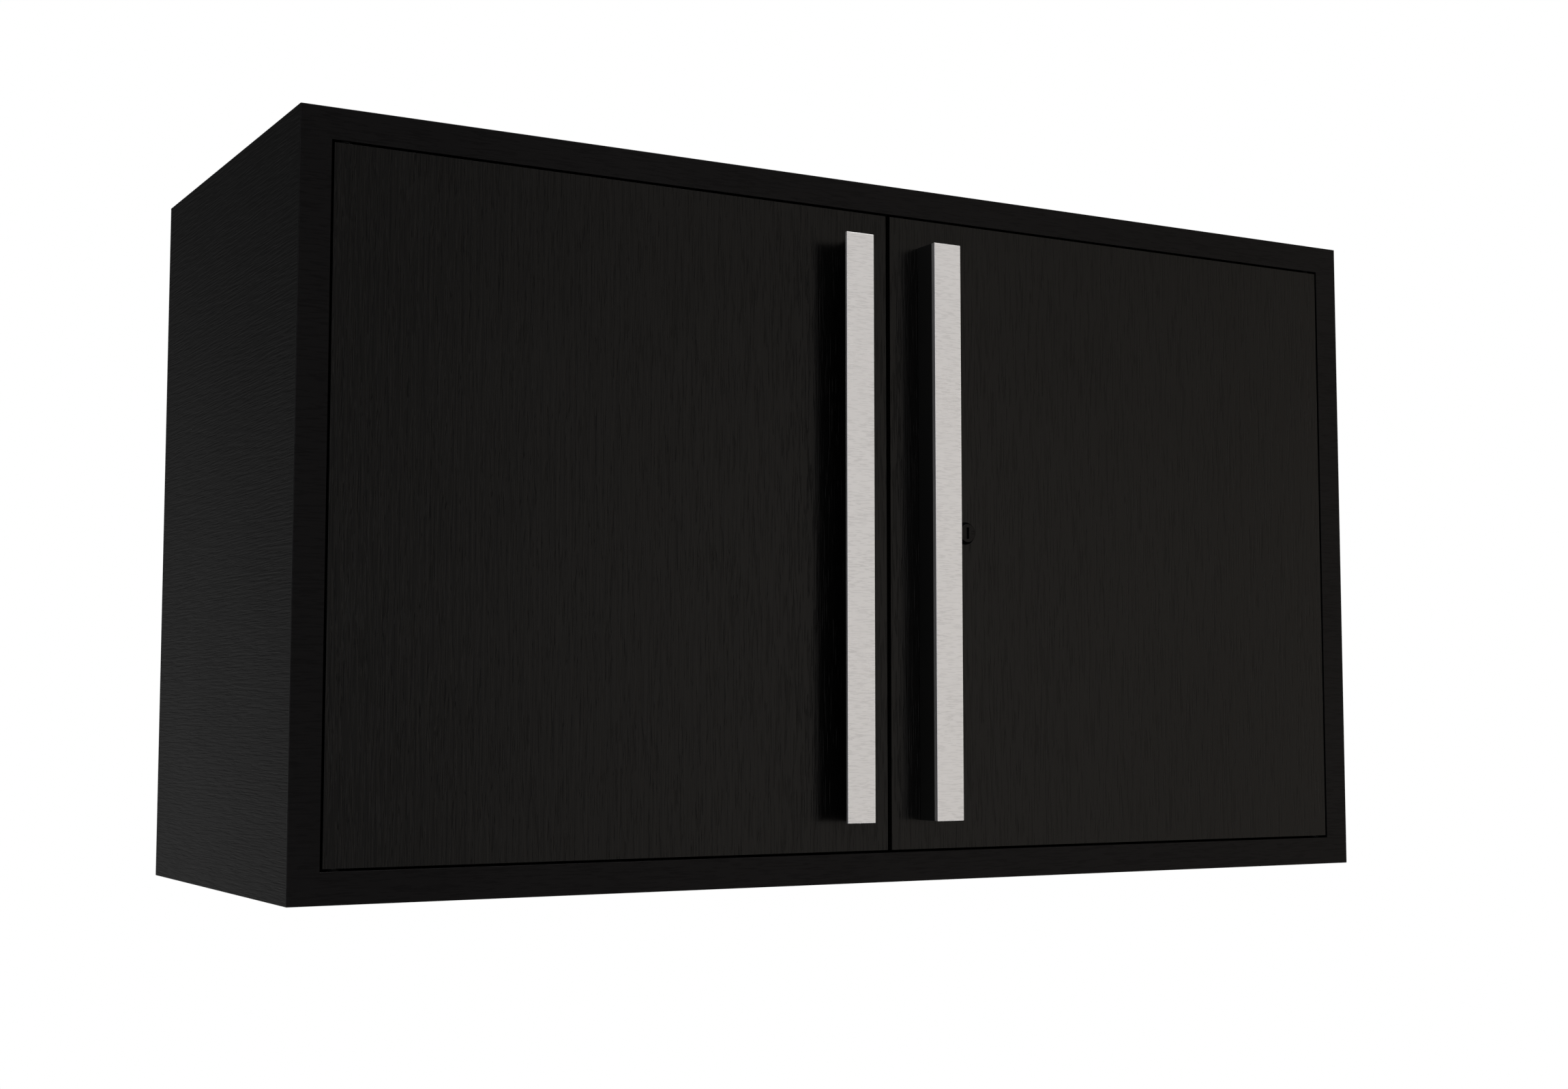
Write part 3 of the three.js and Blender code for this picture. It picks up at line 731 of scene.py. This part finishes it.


# the keyway and the mark grooves take the near-black: painted shade
def plug_face(p):
    c = p.center
    in_key = (abs(c.x - LOCK.x) < 1.32 * MM and abs(c.z - LOCK.z) < 5.27 * MM
              and c.y > FACE - 4.38 * MM and c.y < FACE + 11 * MM)
    in_mark = c.x > LOCK.x + 3.5 * MM and FACE - 4.43 * MM < c.y < FACE - 4.0 * MM and \
        min(abs(c.z - LOCK.z - dz * MM) for dz in MARKS) < 0.3 * MM
    return 1 if in_key or in_mark else 0


finish_piece(plug, "lock_cylinder", [M["lock"], M["dark"]], ["lock_plug"],
             plug_face)

from_cad("lock_ring_nut", "lock_nut", M["zinc"], 0.4)
from_cad("crank_disc", "lock_cam", M["zinc"], 0.2)
lo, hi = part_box("cam_screw")
from_cad("crank_screw", "cam_screw", M["zinc"], 0.25,
         cutters=[cross((lo + hi) / 2, 1.7 * MM, hi.y - 1.0 * MM, hi.y + 1 * MM)])
from_cad("rod_upper", "lock_rod_upper", M["zinc"], 0.3)
from_cad("rod_lower", "lock_rod_lower", M["zinc"], 0.3)
from_cad("side_bolt", "lock_bolt", M["zinc"], 0.3)
for n in ("upper", "lower"):
    from_cad(f"guide_{n}", f"rod_guide_{n}", M["nylon"], 0.5)
from_cad("guide_bolt", "bolt_guide", M["nylon"], 0.5)


# ------------------------------------------------------------ floor and light
floor_bm = bmesh.new()
bmesh.ops.create_grid(floor_bm, x_segments=1, y_segments=1, size=7.0)
for v in floor_bm.verts:
    v.co.z = -2.2
floor = make_object("studio_floor", floor_bm)
fm = bpy.data.materials.new("floor_finish")
fm.use_nodes = True
fm.node_tree.nodes["Principled BSDF"].inputs["Base Color"].default_value = (0.86, 0.86, 0.86, 1)
fm.node_tree.nodes["Principled BSDF"].inputs["Roughness"].default_value = 0.9
floor.data.materials.append(fm)


def area(name, place, target, size, power, colour=(1, 1, 1)):
    data = bpy.data.lights.new(name, "AREA")
    data.shape, data.size, data.size_y = "RECTANGLE", size[0], size[1]
    data.energy, data.color = power, colour
    obj = bpy.data.objects.new(name, data)
    obj.location = place
    obj.rotation_euler = (Vector(target) - Vector(place)).to_track_quat("-Z", "Y").to_euler()
    bpy.context.scene.collection.objects.link(obj)
    return obj


area("overhead_softbox", (0, -0.4, 3.4), (0, -0.4, 0), (3.2, 3.2), 140)
# soft fills that light the matt finishes without showing in the glossy ones
for name, place, power in (("front_fill", (0.5, -3.4, 1.5), 42), ("rear_fill", (-0.3, 3.8, 1.6), 110)):
    fill = area(name, place, (0, 0.2, 0.3), (2.6, 1.8), power)
    fill.visible_glossy = False
    fill.visible_camera = False

world = bpy.data.worlds.new("studio")
bpy.context.scene.world = world
world.use_nodes = True
wt = world.node_tree
wt.nodes.clear()


def wn(kind, **kw):
    n = wt.nodes.new(kind)
    for k, v in kw.items():
        setattr(n, k, v)
    return n


def wmath(op, a, b=0.0):
    n = wn("ShaderNodeMath", operation=op)
    for s, v in zip(n.inputs, (a, b)):
        if isinstance(v, bpy.types.NodeSocket):
            wt.links.new(v, s)
        else:
            s.default_value = v
    return n.outputs[0]


def ramp(fac, stops):
    """Colour ramp over (place, red, green, blue) stops."""
    n = wn("ShaderNodeValToRGB")
    n.color_ramp.interpolation = "EASE"
    el = n.color_ramp.elements
    while len(el) > 1:
        el.remove(el[-1])
    el[0].position = stops[0][0]
    el[0].color = tuple(stops[0][1:]) + (1,)
    for p, *rgb in stops[1:]:
        el.new(p).color = tuple(rgb) + (1,)
    wt.links.new(fac, n.inputs[0])
    return n.outputs[0]


def wvec(op, a, b):
    n = wn("ShaderNodeVectorMath", operation=op)
    for s, v in zip(n.inputs, (a, b)):
        if isinstance(v, bpy.types.NodeSocket):
            wt.links.new(v, s)
        else:
            s.default_value = v
    return n.outputs[0]


tc = wn("ShaderNodeTexCoord")
sep = wn("ShaderNodeSeparateXYZ")
wt.links.new(tc.outputs["Generated"], sep.inputs[0])
az = wmath("ARCTAN2", sep.outputs["X"], wmath("MULTIPLY", sep.outputs["Y"], -1.0))
turn = wmath("ADD", wmath("DIVIDE", az, 2 * math.pi), 0.5)      # 0.5 is straight ahead
rise = wmath("ADD", wmath("DIVIDE", wmath("ARCSINE", sep.outputs["Z"]), math.pi), 0.5)
# brightness round the horizon, by azimuth to the right of straight ahead, and warmth
AZ = [(-180, 0.0, 0), (-135, 0.0, 0), (-110, 0.35, 0), (-75, 0.55, 0), (-40, 0.75, 0),
      (-14, 0.85, 0), (-3, 0.50, 0), (7, 0.05, 0), (14, 0.185, 0), (30, 0.545, .8), (50, 0.465, 1.3),
      (90, 0.50, 1.0), (130, 0.40, 1), (160, 0.0, 0), (180, 0.0, 0)]
EL = [(-90, 0.5), (-30, 0.8), (-6, 0.95), (4, 1.0), (14, 0.69), (35, 0.6), (60, 0.7), (90, 0.9)]
# the dim room behind the cabinet: a glow low down, dark above
BACK_AZ = [(-180, 1.0), (-140, 1.0), (-115, 0.3), (-90, 0.0), (90, 0.0), (140, 1.0), (180, 1.0)]
BACK_EL = [(-90, 0.10), (-30, 0.06), (-14, 0.095), (-4, 0.143), (5, 0.085), (15, 0.029),
           (40, 0.02), (90, 0.05)]


def warm(v, w):
    return v * (1 + 0.07 * w), v, v * (1 - 0.10 * w)


around = ramp(turn, [(a / 360 + 0.5, *warm(v, w)) for a, v, w in AZ])
upward = ramp(rise, [(a / 180 + 0.5, v, v, v) for a, v in EL])
behind = ramp(turn, [(a / 360 + 0.5, v, v, v) for a, v in BACK_AZ])
glow = ramp(rise, [(a / 180 + 0.5, v, v, v) for a, v in BACK_EL])
total = wvec("ADD", wvec("MULTIPLY", around, upward), wvec("MULTIPLY", behind, glow))
lit = wn("ShaderNodeBackground")
wt.links.new(total, lit.inputs["Color"])
seen = wn("ShaderNodeBackground")
seen.inputs["Color"].default_value = (1, 1, 1, 1)
path = wn("ShaderNodeLightPath")
mixed = wn("ShaderNodeMixShader")
wt.links.new(path.outputs["Is Camera Ray"], mixed.inputs[0])
wt.links.new(lit.outputs[0], mixed.inputs[1])
wt.links.new(seen.outputs[0], mixed.inputs[2])
out = wn("ShaderNodeOutputWorld")
wt.links.new(mixed.outputs[0], out.inputs[0])

# -------------------------------------------------------------------- camera
cam_data = bpy.data.cameras.new("camera")
cam_data.lens, cam_data.sensor_width, cam_data.sensor_fit = 50.0, 36.0, "HORIZONTAL"
cam_data.clip_start, cam_data.clip_end = 0.01, 100.0
cam = bpy.data.objects.new("camera", cam_data)
cam.location = (-1.02093, -1.79815, 0.13755)
cam.rotation_euler = (math.radians(90 + 4.6792), 0.0, math.radians(-29.5805))
bpy.context.scene.collection.objects.link(cam)
bpy.context.scene.camera = cam
bpy.context.scene.view_settings.view_transform = "Standard"
bpy.context.scene.view_settings.look = "None"
